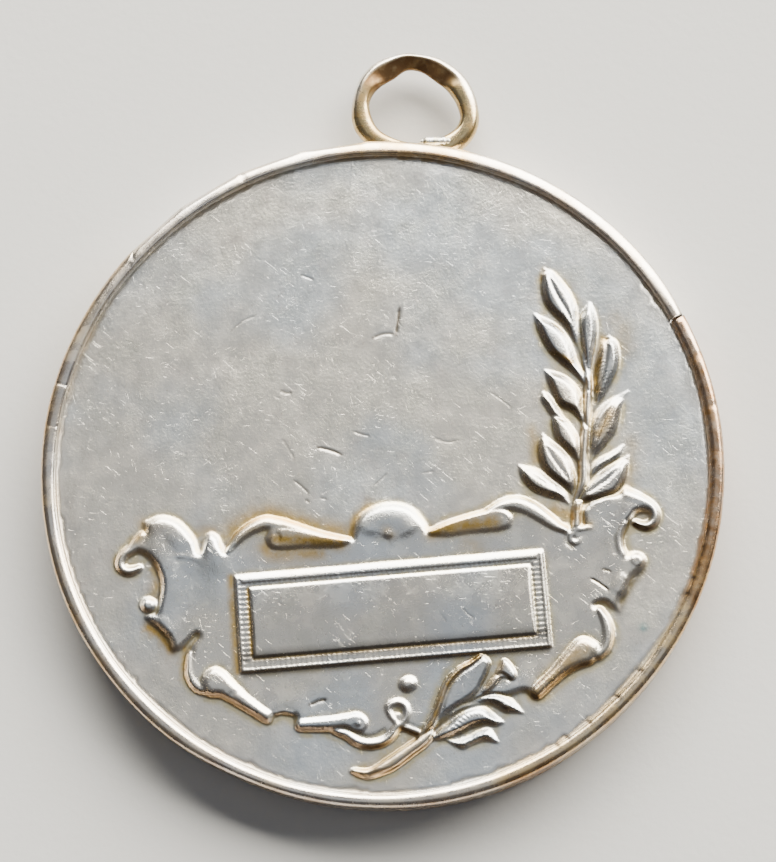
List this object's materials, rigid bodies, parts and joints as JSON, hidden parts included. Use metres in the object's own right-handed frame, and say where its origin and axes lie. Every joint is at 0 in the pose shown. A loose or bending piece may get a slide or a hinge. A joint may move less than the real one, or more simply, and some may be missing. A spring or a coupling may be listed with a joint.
{
  "type": "award medal",
  "caption": "Round silver-toned award medal with a blank engraving plaque in a scrolled cartouche, laurel sprays, a crimped rim hoop and a soldered wire suspension loop.",
  "frame": {"origin": "centre of the round disc on the plane that the medal rests on", "axes": "+Z out of the struck face, +Y from the disc's centre towards the suspension loop, +X to the right of the face"},
  "size_m": [0.0338, 0.0389, 0.0027],
  "materials": {
    "face_silver": "satin struck silver plate, toned and finely scratched",
    "back_silver": "satin silver plate",
    "filler_metal": "plain base metal, hidden",
    "rim_metal": "silver plate worn through to brass on its crest",
    "loop_wire": "polished wire, plate worn to brass",
    "solder": "smooth silver solder"
  },
  "bodies": {
    "root": {"front_face": "face_silver", "back_face": "back_silver", "core_disc": "filler_metal", "rim_hoop": "rim_metal", "suspension_loop": "loop_wire", "loop_solder_left": "solder", "loop_solder_right": "solder"}
  },
  "joints": []
}
